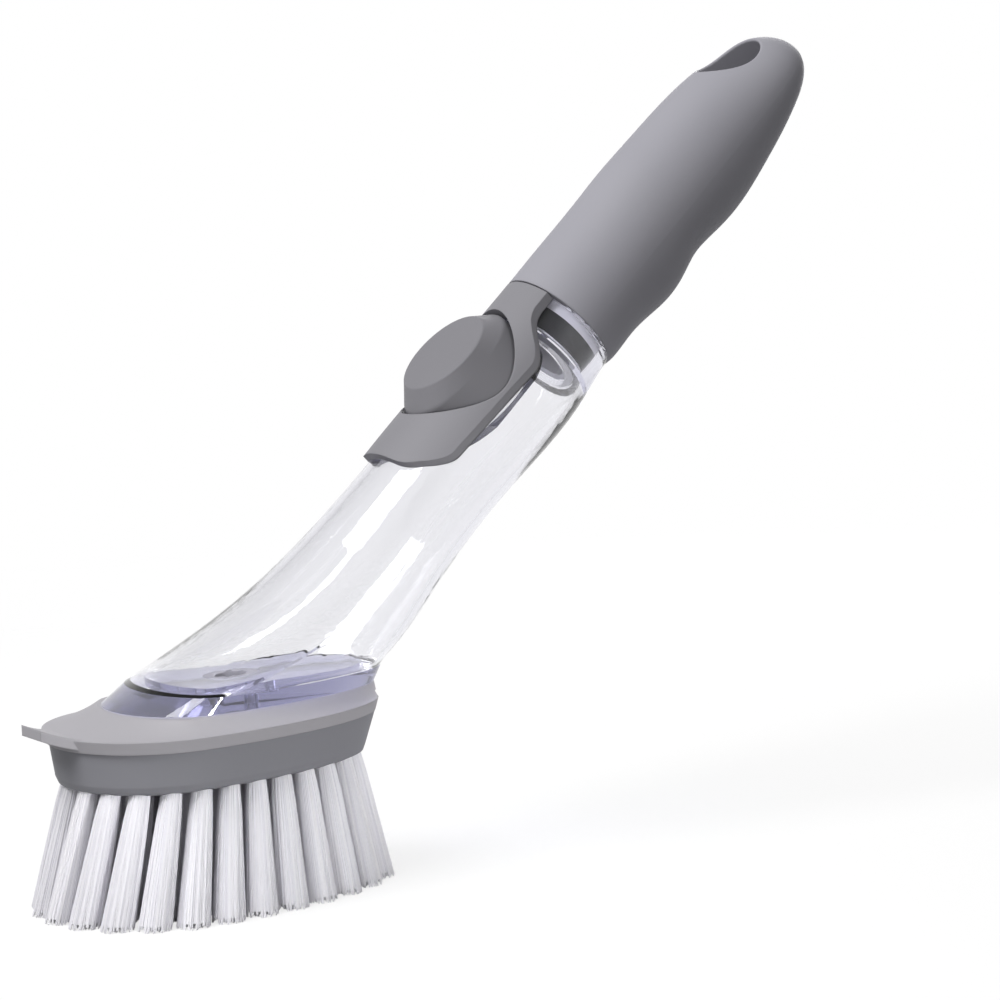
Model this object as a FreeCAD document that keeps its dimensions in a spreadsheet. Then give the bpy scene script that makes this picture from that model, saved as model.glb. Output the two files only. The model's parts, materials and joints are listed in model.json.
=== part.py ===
import FreeCAD, Part
import math
import os
import Sketcher

# A soap-dispensing dish wand, standing on its bristle tips.
# X runs from the toe of the head to the handle, Y across the head, Z up.
# The neck frame has Z along the handle, X towards its underside and Y across.

V = FreeCAD.Vector
Placement = FreeCAD.Placement
Rotation = FreeCAD.Rotation
Rule = Sketcher.Constraint
ACROSS = V(0, 1, 0)

SIZES = [
    # The head, from the bristle tips upwards.
    ("bristle_length", 33.4, "bristle tips to the underside of the block"),
    ("block_depth", 11.3, "height of the bristle block"),
    ("rim_depth", 3.3, "height of the rim of the head plate"),
    ("plate_rise", 4.0, "rim edge to the seat of the reservoir"),
    ("head_wide_x", -18.0, "place of the widest section of the head"),
    ("head_toe", 29.0, "widest section to the toe"),
    ("head_heel", 65.0, "widest section to the heel"),
    ("head_half", 30.5, "half width of the head"),
    ("rim_undercut", 1.0, "rim narrows by this to its lower edge"),
    ("plate_mid_rise", 1.5, "rim edge to the hollow of the plate's slope"),
    ("plate_mid_share", 0.55, "share of the slope covered at that height"),
    ("lip_reach", 52.7, "origin to the end of the pull lip"),
    ("lip_root", 40.0, "origin to where the lip leaves the plate"),
    ("lip_mid", 49.0, "origin to the bend of the lip"),
    ("lip_half", 6.0, "half width of the lip at its end"),
    ("lip_mid_half", 7.5, "half width of the lip at its bend"),
    ("lip_root_half", 15.0, "half width of the lip at its root"),
    ("lip_thick", 2.8, "thickness of the lip"),
    ("lip_rise", 3.0, "rim edge to the top of the lip's end"),
    ("lip_mid_rise", 1.5, "rim edge to the top of the lip's bend"),
    ("block_toe_inset", 1.6, "block inside the rim at the toe"),
    ("block_side_inset", 1.9, "block inside the rim at the sides"),
    ("block_heel_inset", 1.0, "block inside the rim at the heel"),
    ("block_draft", 1.2, "block narrows by this to its underside"),
    ("block_heel_draft", 3.4, "and by this at the heel"),
    ("block_round", 2.4, "rounding of the block's lower edge"),
    ("block_round_share", 0.293, "share of that rounding left at its middle"),
    ("tuft_radius", 2.6, "tuft at its hole"),
    ("tuft_tip_radius", 4.2, "tuft at its tip"),
    ("tuft_hole_clear", 0.1, "radial room of a tuft in its hole"),
    ("tuft_depth", 7.0, "tuft in its hole"),
    ("outer_inset", 4.0, "outer ring of holes inside the block's underside"),
    ("outer_flare", 7.2, "outer tips outside their holes"),
    ("middle_inset", 12.0, "middle ring of holes inside the block's underside"),
    ("middle_flare", 4.4, "middle tips outside their holes"),
    ("tuft_lean", 1.0, "all tips lean this far to the toe"),
    ("inner_pitch", 10.4, "spacing of the inner row of tufts"),
    ("staple_length", 3.4, "anchor staple along the row"),
    ("staple_width", 0.7, "anchor staple thickness"),
    ("staple_height", 1.2, "anchor staple height"),
    # The reservoir, from its seat on the head to its neck.
    ("neck_x", 111.2, "place of the neck's mouth"),
    ("neck_rise", 90.4, "seat to the neck's mouth"),
    ("neck_tilt", 42.5, "degrees of the handle above level"),
    ("wall", 2.2, "wall of the reservoir"),
    ("base_thick", 4.5, "floor of the reservoir"),
    ("base_wide_x", -11.0, "widest section of the floor"),
    ("base_toe", 19.0, "widest section to the toe of the floor"),
    ("base_heel", 57.5, "widest section to the heel of the floor"),
    ("base_half", 24.0, "half width of the floor"),
    ("sill_wide_x", -8.5, "widest section at the top of the floor"),
    ("sill_toe", 13.4, "widest section to the toe there"),
    ("sill_heel", 57.4, "widest section to the heel there"),
    ("sill_side", 0.2, "wider there than the floor at each side"),
    ("low_x", 7.0, "lowest wall section"),
    ("low_rise", 8.9, "seat to that section's middle"),
    ("low_tilt", 5.5, "degrees that it dips to the heel"),
    ("low_toe", 19.6, "middle to toe"),
    ("low_heel", 41.6, "middle to heel"),
    ("low_side_share", 0.96, "share of its side from the waist's half width to the floor's"),
    ("mid_x", 27.2, "middle wall section"),
    ("mid_rise", 17.1, "seat to that section's middle"),
    ("mid_tilt", 19.1, "degrees that it dips to the heel"),
    ("mid_toe", 19.2, "middle to toe"),
    ("mid_heel", 26.3, "middle to heel"),
    ("mid_side_share", 0.6, "share of its side from the waist's half width to the floor's"),
    ("high_x", 42.7, "upper wall section"),
    ("high_rise", 26.9, "seat to that section's middle"),
    ("high_tilt", 36.9, "degrees that it dips to the heel"),
    ("high_toe", 17.5, "middle to toe"),
    ("high_heel", 19.8, "middle to heel"),
    ("high_side_share", 0.3, "share of its side from the waist's half width to the floor's"),
    ("waist_share", 0.66, "place of the waist between the belly and the upper wall section"),
    ("waist_top", 15.9, "waist above the neck axis"),
    ("waist_under", 18.7, "waist below the neck axis"),
    ("waist_half", 19.0, "half width"),
    ("belly_down", 45.0, "mouth to the section under the button"),
    ("belly_top", 15.6, "that section above the neck axis"),
    ("belly_under", 18.0, "that section below the neck axis"),
    ("belly_half", 18.0, "half width"),
    ("shoulder_down", 12.0, "mouth to the shoulder section"),
    ("shoulder_top", 14.8, "shoulder above the neck axis"),
    ("shoulder_under", 18.4, "shoulder below the neck axis"),
    ("shoulder_half", 17.3, "half width"),
    ("mouth_top", 14.8, "mouth above the neck axis"),
    ("mouth_under", 16.6, "mouth below the neck axis"),
    ("mouth_radius", 17.1, "mouth's outside radius"),
    ("bore_radius", 13.4, "bore of the neck"),
    ("bore_depth", 9.8, "depth of the neck's bore"),
    ("spigot_rise", 1.2, "floor's spigot inside the wall"),
    ("weld_clear", 0.1, "weld line between wall and floor"),
    ("seat_clear", 0.3, "room between the floor and the head plate"),
    ("rail_start", 20.0, "origin back to the toe end of the rail"),
    ("rail_end", 43.5, "origin to the heel end of the rail"),
    ("rail_neck_half", 4.5, "half width of the rail's neck"),
    ("rail_foot_half", 8.0, "half width of the rail's foot"),
    ("rail_neck_depth", 2.6, "height of the rail's neck"),
    ("rail_foot_depth", 2.4, "height of the rail's foot"),
    ("rail_clear", 0.3, "room round the rail"),
    ("port_x", 5.2, "place of the soap port"),
    ("port_radius", 2.0, "soap port"),
    ("valve_radius", 7.6, "flange of the slit valve"),
    ("valve_thick", 1.3, "flange thickness"),
    ("valve_nose", 1.7, "radius of the valve's nose"),
    ("valve_drop", 4.0, "length of the valve's nose"),
    ("valve_skin", 0.5, "wall of the valve's nose"),
    ("slit_width", 0.4, "slit across the nose"),
    ("retainer_radius", 4.4, "opening of the valve's retainer"),
    ("retainer_thick", 1.5, "retainer thickness"),
    ("fit_clear", 0.1, "room round seated pieces of one body"),
    ("seal_radius", 4.6, "outside of the port seal"),
    ("seal_thick", 1.0, "port seal thickness"),
    # The pump: housing, button and bellows.
    ("housing_gap", 0.4, "housing to the handle"),
    ("housing_thick", 3.3, "housing over the reservoir at the handle"),
    ("housing_belly_thick", 2.9, "housing over the reservoir at the button"),
    ("housing_end_thick", 1.6, "housing over the reservoir at its blank's end"),
    ("housing_side", 0.8, "housing over the reservoir at the sides"),
    ("housing_depth", 4.0, "blank of the housing below the neck axis"),
    ("tongue_neck_half", 11.0, "half width of the housing at the handle"),
    ("tongue_neck_down", 8.0, "mouth to where it widens"),
    ("tongue_side_half", 16.9, "half width at the sides"),
    ("tongue_side_start", 17.0, "mouth to where the sides begin"),
    ("tongue_end_down", 64.5, "mouth to the end edge"),
    ("tongue_slant", 7.0, "end edge back to where the sides end"),
    ("tongue_slant_side", 6.1, "end edge's corners inside the sides"),
    ("tongue_hollow", 10.0, "rounding where it widens"),
    ("tongue_shoulder", 12.0, "rounding where the sides begin"),
    ("tongue_flank", 12.0, "rounding where the sides end"),
    ("tongue_corner", 6.5, "rounding of the corners at the end"),
    ("housing_fit", 0.12, "room between the housing and the reservoir"),
    ("button_start", 11.2, "mouth to the near end of the button"),
    ("button_half_long", 19.3, "half length of the button at the housing"),
    ("button_half_wide", 15.9, "half width of the button at the housing"),
    ("button_top_end", 5.8, "the button's top inside its foot at each end"),
    ("button_top_side", 2.3, "and at each side"),
    ("button_low", 8.2, "neck axis to the button's lower edge"),
    ("button_waist", 16.9, "neck axis to where the button's ends begin to taper"),
    ("button_waist_end", 0.4, "the button there inside its foot at each end"),
    ("button_waist_side", 1.45, "and at each side"),
    ("button_waist_round", 2.5, "rounding of the button's wall there"),
    ("button_high", 21.8, "neck axis to the button's top"),
    ("button_round", 0.7, "rounding of the button's top edge"),
    ("button_wall", 2.4, "wall of the button"),
    ("button_roof", 3.0, "thickness of the button's top"),
    ("button_clear", 0.4, "gap round the button"),
    ("button_travel", 3.5, "stroke of the button"),
    ("stroke_spare", 0.6, "room left under the button at the end of its stroke"),
    ("well_floor", 1.6, "floor and wall of the pump well"),
    ("core_thick", 3.0, "stiff disc in the button"),
    ("bellows_radius", 9.0, "bellows"),
    ("bellows_fold", 1.6, "depth of the bellows' folds"),
    ("bellows_skin", 0.9, "wall of the bellows"),
    ("bellows_foot", 11.4, "radius of the bellows' foot"),
    ("ring_height", 1.8, "clamp ring of the bellows"),
    ("ring_width", 2.2, "width of the clamp ring"),
    ("air_port", 1.5, "air port in the well's floor"),
    ("air_head", 3.2, "head of the air valve"),
    ("air_head_thick", 0.8, "thickness of that head"),
    # The handle and its plug.
    ("socket_radius", 14.6, "socket of the handle for the plug"),
    ("socket_depth", 14.0, "depth of that socket"),
    ("hollow_end", 74.0, "end of the handle's hollow"),
    ("hollow_end_radius", 11.6, "radius of the hollow there"),
    ("hang_along", 93.0, "mouth to the hang hole"),
    ("hang_radius", 9.4, "hang hole"),
    ("hang_round", 0.5, "rounding of the hang hole's edges"),
    ("plug_clear", 0.5, "radial room of the plug's thread in the bore"),
    ("plug_down", 9.3, "plug below the mouth"),
    ("plug_wall", 2.4, "wall of the plug"),
    ("seal_down", 8.8, "mouth to the lower edge of the neck seal"),
    ("seal_width", 6.2, "width of the neck seal"),
    ("seal_depth", 1.2, "depth of the seal's groove"),
    ("seal_clear", 0.1, "room of the neck seal in bore and groove"),
    ("overrun", 2.0, "cuts pass this far beyond a face"),
]

# The handle's sections: name, distance from the mouth, above, below, half width.
HANDLE_SECTIONS = [
    ("grip_foot", 0.0, 18.2, 16.5, 17.1),
    ("grip_collar", 10.0, 18.3, 17.1, 17.2),
    ("grip_rise", 20.0, 18.3, 18.0, 17.2),
    ("first_wave", 33.0, 18.5, 18.9, 17.1),
    ("first_hollow", 46.0, 18.7, 16.7, 17.0),
    ("second_wave", 60.0, 18.2, 18.1, 16.9),
    ("taper_start", 72.0, 17.6, 17.0, 16.6),
    ("taper_middle", 84.0, 16.0, 14.6, 16.2),
    ("taper_end", 95.0, 13.4, 11.6, 15.2),
    ("tip_start", 103.0, 10.1, 8.6, 12.4),
    ("tip_middle", 107.6, 6.0, 5.2, 8.0),
    ("tip_end", 109.2, 3.0, 2.8, 4.0),
]
OUTER_TUFTS = 25
MIDDLE_TUFTS = 17
INNER_TUFTS_TO_TOE = 1
INNER_TUFTS_TO_HEEL = 2

doc = FreeCAD.newDocument("dish_wand")
sheet = doc.addObject("Spreadsheet::Sheet", "Sizes")
rows = list(SIZES)
for name, along, above, below, half in HANDLE_SECTIONS:
    rows.append((name + "_along", along, "distance from the mouth"))
    rows.append((name + "_above", above, "above the neck axis"))
    rows.append((name + "_below", below, "below the neck axis"))
    rows.append((name + "_half", half, "half width"))
for row, (name, value, note) in enumerate(rows, 1):
    sheet.set("A%d" % row, name)
    sheet.set("B%d" % row, str(value))
    sheet.setAlias("B%d" % row, name)
    sheet.set("C%d" % row, note)
doc.recompute()


def of(*names):
    """Sum of the named sizes, as an expression; a name with a leading minus is taken off."""
    text = ""
    for name in names:
        sign = " - " if name.startswith("-") else " + "
        text += sign + "Sizes." + name.lstrip("-")
    return "(0" + text + ")"


def value(expression):
    result = sheet.evalExpression(expression)
    return float(getattr(result, "Value", result))


BLOCK_TOP = of("bristle_length", "block_depth")
RIM_EDGE = of("bristle_length", "block_depth", "rim_depth")
SEAT = of("bristle_length", "block_depth", "rim_depth", "plate_rise")
SILL = SEAT + " + Sizes.base_thick"
SILL_HALF = of("base_half", "sill_side")
NECK_Z = SEAT + " + Sizes.neck_rise"


def bind(thing, **places):
    """Bind properties to expressions; a double underscore stands for a dot."""
    for place, expression in places.items():
        thing.setExpression(place.replace("__", "."), expression)


def new_body(name, in_neck_frame=False):
    body = doc.addObject("PartDesign::Body", name)
    if in_neck_frame:
        to_neck_frame(body)
    return body


def to_neck_frame(thing):
    thing.Placement = Placement(V(), Rotation(ACROSS, 1))
    bind(thing, Placement__Base__x="Sizes.neck_x", Placement__Base__z=NECK_Z,
         Placement__Rotation__Angle="90 - Sizes.neck_tilt")


def origin_plane(body, role):
    return [plane for plane in body.Origin.OriginFeatures if plane.Role == role][0]


def new_sketch(body, name, role="XY_Plane", x="0", y="0", z="0", dip=None):
    """A sketch on one of the body's planes, shifted, and dipped about the Y axis."""
    sketch = body.newObject("Sketcher::SketchObject", name)
    sketch.AttachmentSupport = (origin_plane(body, role), "")
    sketch.MapMode = "FlatFace"
    if dip:
        sketch.AttachmentOffset = Placement(V(), Rotation(ACROSS, 1))
        bind(sketch, AttachmentOffset__Rotation__Angle=dip)
    bind(sketch, AttachmentOffset__Base__x=x, AttachmentOffset__Base__y=y, AttachmentOffset__Base__z=z)
    return sketch


def driven(sketch, rule, expression):
    index = sketch.addConstraint(rule)
    sketch.setExpression("Constraints[%d]" % index, expression)


def half_oval(sketch, side, reach, half, joined=None):
    """Half an ellipse on the side -1 or +1 of the sketch's Y axis, a half circle where reach is half."""
    reach_now = value(reach)
    half_now = value(half)
    quarter = math.pi / 2
    start = quarter if side < 0 else -quarter
    round_arc = math.isclose(reach_now, half_now)
    if round_arc:
        arc = Part.ArcOfCircle(Part.Circle(V(), V(0, 0, 1), half_now), start, start + math.pi)
    elif reach_now > half_now:
        ellipse = Part.Ellipse(V(reach_now * side, 0, 0), V(0, half_now * side, 0), V())
        arc = Part.ArcOfEllipse(ellipse, -quarter, quarter)
    else:
        ellipse = Part.Ellipse(V(0, half_now, 0), V(-reach_now, 0, 0), V())
        start -= quarter
        arc = Part.ArcOfEllipse(ellipse, start, start + math.pi)
    curve = sketch.addGeometry(arc, False)
    sketch.addConstraint(Rule("Coincident", curve, 3, -1, 1))
    if not round_arc:
        sketch.exposeInternalGeometry(curve)
        major = curve + 1
        minor = curve + 2
        along_x = reach_now > half_now
        sketch.addConstraint(Rule("Horizontal" if along_x else "Vertical", major))
        reach_line, half_line = (major, minor) if along_x else (minor, major)
        driven(sketch, Rule("Distance", reach_line, 2 * reach_now), "2 * " + reach)
    if joined is not None:
        sketch.addConstraint(Rule("Coincident", curve, 1, joined, 2))
    else:
        if round_arc:
            driven(sketch, Rule("Radius", curve, half_now), half)
        else:
            driven(sketch, Rule("Distance", half_line, 2 * half_now), "2 * " + half)
        sketch.addConstraint(Rule("PointOnObject", curve, 1, -2))
    sketch.addConstraint(Rule("PointOnObject", curve, 2, -2))
    return curve


def oval(body, name, toe, heel, half, **place):
    """An egg of two half ellipses: toe reaches to -X, heel to +X, half to both sides."""
    sketch = new_sketch(body, name, **place)
    first = half_oval(sketch, -1, toe, half)
    half_oval(sketch, 1, heel, half, first)
    return sketch


def circle(body, name, *radii, **place):
    """Circles about the sketch's origin."""
    sketch = new_sketch(body, name, **place)
    for radius in radii:
        ring = sketch.addGeometry(Part.Circle(V(), V(0, 0, 1), value(radius)), False)
        sketch.addConstraint(Rule("Coincident", ring, 3, -1, 1))
        driven(sketch, Rule("Radius", ring, value(radius)), radius)
    return sketch


def outline(sketch, corners):
    """A closed outline of straight sides through corners given as expressions."""
    points = [V(value(x), value(y), 0) for x, y in corners]
    count = len(points)
    first = sketch.GeometryCount
    for side in range(count):
        sketch.addGeometry(Part.LineSegment(points[side], points[(side + 1) % count]), False)
    for side in range(count):
        sketch.addConstraint(Rule("Coincident", first + side, 2, first + (side + 1) % count, 1))
    for side in range(count):
        for kind, axis, now, expression in (("DistanceX", -2, points[side].x, corners[side][0]),
                                            ("DistanceY", -1, points[side].y, corners[side][1])):
            if now:
                driven(sketch, Rule(kind, -1, 1, first + side, 1, now), expression)
            else:
                sketch.addConstraint(Rule("PointOnObject", first + side, 1, axis))


def less(expression):
    return "-(%s)" % expression


def loft(body, name, sketches, cut=False, ruled=False):
    kind = "PartDesign::SubtractiveLoft" if cut else "PartDesign::AdditiveLoft"
    feature = body.newObject(kind, name)
    feature.Profile = sketches[0]
    feature.Sections = sketches[1:]
    feature.Ruled = ruled
    doc.recompute()
    return feature


def pad(body, name, sketch, length, reversed_way=False):
    feature = body.newObject("PartDesign::Pad", name)
    feature.Profile = sketch
    feature.Reversed = reversed_way
    bind(feature, Length=length)
    doc.recompute()
    return feature


def pocket(body, name, sketch, length=None, reversed_way=False):
    """A pocket of a given depth, or through all; it has to take material away."""
    before = body.Shape.Volume
    feature = body.newObject("PartDesign::Pocket", name)
    feature.Profile = sketch
    feature.Reversed = reversed_way
    if length:
        bind(feature, Length=length)
    else:
        feature.Type = "ThroughAll"
    doc.recompute()
    if not body.Shape.Volume < before:
        raise RuntimeError(name + " cuts nothing")
    return feature


def revolve(body, name, sketch, axis="V_Axis", cut=False):
    feature = body.newObject("PartDesign::Groove" if cut else "PartDesign::Revolution", name)
    feature.Profile = sketch
    feature.ReferenceAxis = (sketch, [axis])
    feature.Angle = 360
    doc.recompute()
    return feature


def fillet(body, name, feature, edges, radius):
    rounding = body.newObject("PartDesign::Fillet", name)
    rounding.Base = (feature, edges)
    bind(rounding, Radius=radius)
    doc.recompute()
    return rounding


def edges_where(feature, test):
    """Names of the edges whose middle, in the body's own frame, passes the test."""
    names = []
    for number, edge in enumerate(feature.Shape.Edges, 1):
        middle = edge.valueAt((edge.FirstParameter + edge.LastParameter) / 2)
        if test(edge, middle):
            names.append("Edge%d" % number)
    return names


nodes = []


def keep(thing, label):
    thing.Label = label
    nodes.append(thing)
    return thing


HIGH_DOWN = ("((Sizes.neck_x - Sizes.high_x) * cos(Sizes.neck_tilt * 1 deg)"
             " + (Sizes.neck_rise - Sizes.high_rise) * sin(Sizes.neck_tilt * 1 deg))")
DOWN = {"shoulder": of("shoulder_down"), "belly": of("belly_down"),
        "waist": "(Sizes.belly_down + Sizes.waist_share * (%s - Sizes.belly_down))" % HIGH_DOWN}


def neck_place(down):
    """Place in the part's frame of a section that lies square to the neck axis."""
    return dict(x="Sizes.neck_x - %s * cos(Sizes.neck_tilt * 1 deg)" % down,
                z=NECK_Z + " - %s * sin(Sizes.neck_tilt * 1 deg)" % down,
                dip="90 - Sizes.neck_tilt")


# The reservoir's wall sections, from the floor to the neck, each larger or smaller by the given expression.
def reservoir_sections(body, tag, change):
    def egg(name, toe, heel, half, **place):
        sizes = ["(%s%s)" % (size, change) for size in (toe, heel, half)]
        return oval(body, name + tag, *sizes, **place)

    sections = [egg("sill", of("sill_toe"), of("sill_heel"), SILL_HALF, x="Sizes.sill_wide_x",
                    z=SILL + " + Sizes.weld_clear")]
    for level in ("low", "mid", "high"):
        side = "(Sizes.waist_half + Sizes.%s_side_share * (Sizes.base_half - Sizes.waist_half))" % level
        sections.append(egg(level, of(level + "_toe"), of(level + "_heel"), side,
                            x="Sizes.%s_x" % level, z=SEAT + " + Sizes.%s_rise" % level,
                            dip="Sizes.%s_tilt" % level))
    for level in ("waist", "belly", "shoulder"):
        sections.append(egg(level, of(level + "_top"), of(level + "_under"), of(level + "_half"),
                            **neck_place(DOWN[level])))
    return sections


def reservoir_form(name, tag, change):
    """The bottle's outside from the floor to the mouth."""
    body = new_body(name)
    sections = reservoir_sections(body, tag, change)
    mouth = ["(Sizes.%s%s)" % (size, change) for size in ("mouth_top", "mouth_under", "mouth_radius")]
    sections.append(oval(body, "mouth" + tag, *mouth, x="Sizes.neck_x", z=NECK_Z, dip="90 - Sizes.neck_tilt"))
    loft(body, "outside" + tag, sections)
    return body


# The clear reservoir: a lofted bottle that flares from a round neck to an egg-shaped floor.
blank = reservoir_form("reservoir_blank", "", "")

BUTTON_DOWN = of("button_start", "button_half_long")
BUTTON_LONG = of("button_half_long", "button_clear")
BUTTON_WIDE = of("button_half_wide", "button_clear")
WELL_LEVEL = of("button_low", "-button_travel", "-stroke_spare")

# The hollow of the reservoir, less the dry well that the pump sits in.
hollow = new_body("reservoir_hollow")
loft(hollow, "inside", reservoir_sections(hollow, "_in", " - Sizes.wall"))
well_wall = new_body("well_wall", in_neck_frame=True)
well_wall_oval = oval(well_wall, "well_wall_plan", BUTTON_WIDE + " + Sizes.well_floor",
                      BUTTON_WIDE + " + Sizes.well_floor", BUTTON_LONG + " + Sizes.well_floor",
                      role="YZ_Plane", y=less(BUTTON_DOWN),
                      z="Sizes.well_floor - %s" % WELL_LEVEL)
pad(well_wall, "well_wall_pad", well_wall_oval, of("button_high"), reversed_way=True)
well = new_body("well", in_neck_frame=True)
well_oval = oval(well, "well_plan", BUTTON_WIDE, BUTTON_WIDE, BUTTON_LONG, role="YZ_Plane",
                 y=less(BUTTON_DOWN), z="-" + WELL_LEVEL)
pad(well, "well_pad", well_oval, of("button_high"), reversed_way=True)
soap_space = doc.addObject("Part::Cut", "soap_space")
soap_space.Base = hollow
soap_space.Tool = well_wall


def neck_cylinder(name, radius, length, along):
    rod = doc.addObject("Part::Cylinder", name)
    rod.Placement = Placement(V(), Rotation(ACROSS, 1))
    bind(rod, Radius=radius, Height=length, Placement__Rotation__Angle="90 - Sizes.neck_tilt",
         Placement__Base__x="Sizes.neck_x + (%s) * cos(Sizes.neck_tilt * 1 deg)" % along,
         Placement__Base__z=NECK_Z + " + (%s) * sin(Sizes.neck_tilt * 1 deg)" % along)
    return rod


mouth_bore = neck_cylinder("mouth_bore", "Sizes.bore_radius", of("bore_depth", "overrun"), "-Sizes.bore_depth")
neck_way = neck_cylinder("neck_way", of("bore_radius", "-plug_wall"), of("shoulder_down", "overrun"),
                         "-" + of("shoulder_down", "overrun"))
air_way = new_body("air_way", in_neck_frame=True)
pad(air_way, "air_way_pad", circle(air_way, "air_way_plan", of("air_port"), role="YZ_Plane",
                                   y=less(BUTTON_DOWN), z="Sizes.well_floor + Sizes.overrun - " + WELL_LEVEL),
    of("well_floor", "overrun", "overrun"), reversed_way=True)
neck_space = doc.addObject("Part::Cut", "neck_space")
neck_space.Base = neck_way
neck_space.Tool = well_wall
reservoir_spaces = doc.addObject("Part::MultiFuse", "reservoir_spaces")
reservoir_spaces.Shapes = [soap_space, neck_space, mouth_bore, well, air_way]
reservoir = doc.addObject("Part::Cut", "reservoir_shell")
reservoir.Base = blank
reservoir.Tool = reservoir_spaces
keep(reservoir, "reservoir_shell")

# The clear floor, welded to the wall: spigot inside, rail for the head below, valve seat on the soap port.
base = new_body("reservoir_base")
loft(base, "floor", [
    oval(base, "floor_under", of("base_toe"), of("base_heel"), of("base_half"), x="Sizes.base_wide_x",
         z=SEAT + " + Sizes.seat_clear"),
    oval(base, "floor_top", of("sill_toe"), of("sill_heel"), SILL_HALF, x="Sizes.sill_wide_x", z=SILL)],
    ruled=True)
SPIGOT_IN = " - Sizes.wall - Sizes.weld_clear - 3 * Sizes.spigot_rise)"
pad(base, "spigot", oval(base, "spigot_plan", "(Sizes.sill_toe" + SPIGOT_IN, "(Sizes.sill_heel" + SPIGOT_IN,
                         "(" + SILL_HALF + SPIGOT_IN, x="Sizes.sill_wide_x", z=SILL), of("spigot_rise"))
RAIL_FOOT_TOP = SEAT + " - Sizes.rail_neck_depth"


def rail_plan(body, name, half, z, start, end):
    sketch = new_sketch(body, name, z=z)
    outline(sketch, [(less(start), less(half)), (end, less(half)), (end, half), (less(start), half)])
    return sketch


pad(base, "rail_neck", rail_plan(base, "rail_neck_plan", of("rail_neck_half"), RAIL_FOOT_TOP,
                                 of("rail_start"), of("rail_end")), of("rail_neck_depth", "base_thick"))
pad(base, "rail_foot", rail_plan(base, "rail_foot_plan", of("rail_foot_half"), RAIL_FOOT_TOP,
                                 of("rail_start"), of("rail_end")), of("rail_foot_depth"), reversed_way=True)
VALVE_SEAT = SILL + " + Sizes.spigot_rise - Sizes.retainer_thick - Sizes.valve_thick"
pocket(base, "valve_seat", circle(base, "valve_seat_plan", of("valve_radius", "fit_clear"), x="Sizes.port_x",
                                  z=SILL + " + Sizes.spigot_rise"), of("retainer_thick", "valve_thick"))
pocket(base, "soap_port", circle(base, "soap_port_plan", of("port_radius"), x="Sizes.port_x",
                                 z=SILL + " + Sizes.spigot_rise + Sizes.overrun"))
keep(base, "reservoir_base")


# The silicone slit valve: a flange on the seat and a thin-walled nose down the port, slit across.
valve = new_body("outlet_valve")
nose_in = of("valve_nose", "-valve_skin")
valve_profile = new_sketch(valve, "valve_profile", role="XZ_Plane", x="Sizes.port_x", y=VALVE_SEAT)
outline(valve_profile, [(nose_in, of("valve_thick")), (nose_in, of("valve_skin", "-valve_drop")),
                        ("0", of("valve_skin", "-valve_drop")), ("0", less(of("valve_drop"))),
                        (of("valve_nose"), less(of("valve_drop"))), (of("valve_nose"), "0"),
                        (of("valve_radius"), "0"), (of("valve_radius"), of("valve_thick"))])
revolve(valve, "valve_turn", valve_profile)
slit = new_sketch(valve, "slit_plan", x="Sizes.port_x", z=VALVE_SEAT + " - Sizes.valve_drop")
SLIT_HALF = "(Sizes.slit_width / 2)"
SLIT_LONG = "(Sizes.valve_nose / 2)"
outline(slit, [(less(SLIT_LONG), less(SLIT_HALF)), (SLIT_LONG, less(SLIT_HALF)), (SLIT_LONG, SLIT_HALF),
               (less(SLIT_LONG), SLIT_HALF)])
pocket(valve, "slit", slit, of("valve_skin"), reversed_way=True)
keep(valve, "outlet_valve")

# The ring that holds the slit valve down, flush with the floor.
retainer = new_body("valve_retainer")
pad(retainer, "retainer_pad", circle(retainer, "retainer_plan", of("valve_radius"), of("retainer_radius"),
                                     x="Sizes.port_x", z=VALVE_SEAT + " + Sizes.valve_thick"),
    of("retainer_thick"))
keep(retainer, "valve_retainer")


# The grey housing: a saddle round the button, cut to the reservoir that it sits on.
housing_blank = new_body("housing_blank", in_neck_frame=True)
housing_sections = []
for level, half, thick, down in (("mouth", "mouth_radius", "housing_thick", of("housing_gap")),
                                 ("shoulder", "shoulder_half", "housing_thick", DOWN["shoulder"]),
                                 ("belly", "belly_half", "housing_belly_thick", DOWN["belly"]),
                                 ("waist", "waist_half", "housing_end_thick", DOWN["waist"])):
    housing_sections.append(oval(housing_blank, "housing_" + level, of(level + "_top", thick),
                                 of("housing_depth"), of(half, "housing_side"), z=less(down)))
loft(housing_blank, "housing_loft", housing_sections)
HOUSING_CUT = of("waist_top", "housing_thick", "housing_depth", "overrun", "overrun")
CUT_FROM = of("housing_depth", "overrun")
tongue = new_body("tongue", in_neck_frame=True)
tongue_plan = new_sketch(tongue, "tongue_plan", role="YZ_Plane", z=CUT_FROM)
tongue_side = [(of("tongue_neck_half"), of("overrun")),
               (of("tongue_neck_half"), less(of("tongue_neck_down"))),
               (of("tongue_side_half"), less(of("tongue_side_start"))),
               (of("tongue_side_half"), of("tongue_slant", "-tongue_end_down")),
               (of("tongue_side_half", "-tongue_slant_side"), less(of("tongue_end_down")))]
other_side = [(less(x), y) for x, y in reversed(tongue_side)]
outline(tongue_plan, tongue_side + other_side)
tongue_shape = pad(tongue, "tongue_pad", tongue_plan, HOUSING_CUT, reversed_way=True)
for number, (radius, corners) in enumerate([("tongue_hollow", [1]), ("tongue_shoulder", [2]),
                                            ("tongue_flank", [3]), ("tongue_corner", [4])], 1):
    places = [(value(tongue_side[corner][0]), value(tongue_side[corner][1])) for corner in corners]
    upright = edges_where(tongue_shape, lambda edge, middle: any(
        math.isclose(abs(middle.y), y, abs_tol=1e-3) and math.isclose(middle.z, z, abs_tol=1e-3)
        for y, z in places))
    tongue_shape = fillet(tongue, "tongue_round_%d" % number, tongue_shape, upright, "Sizes." + radius)
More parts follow.
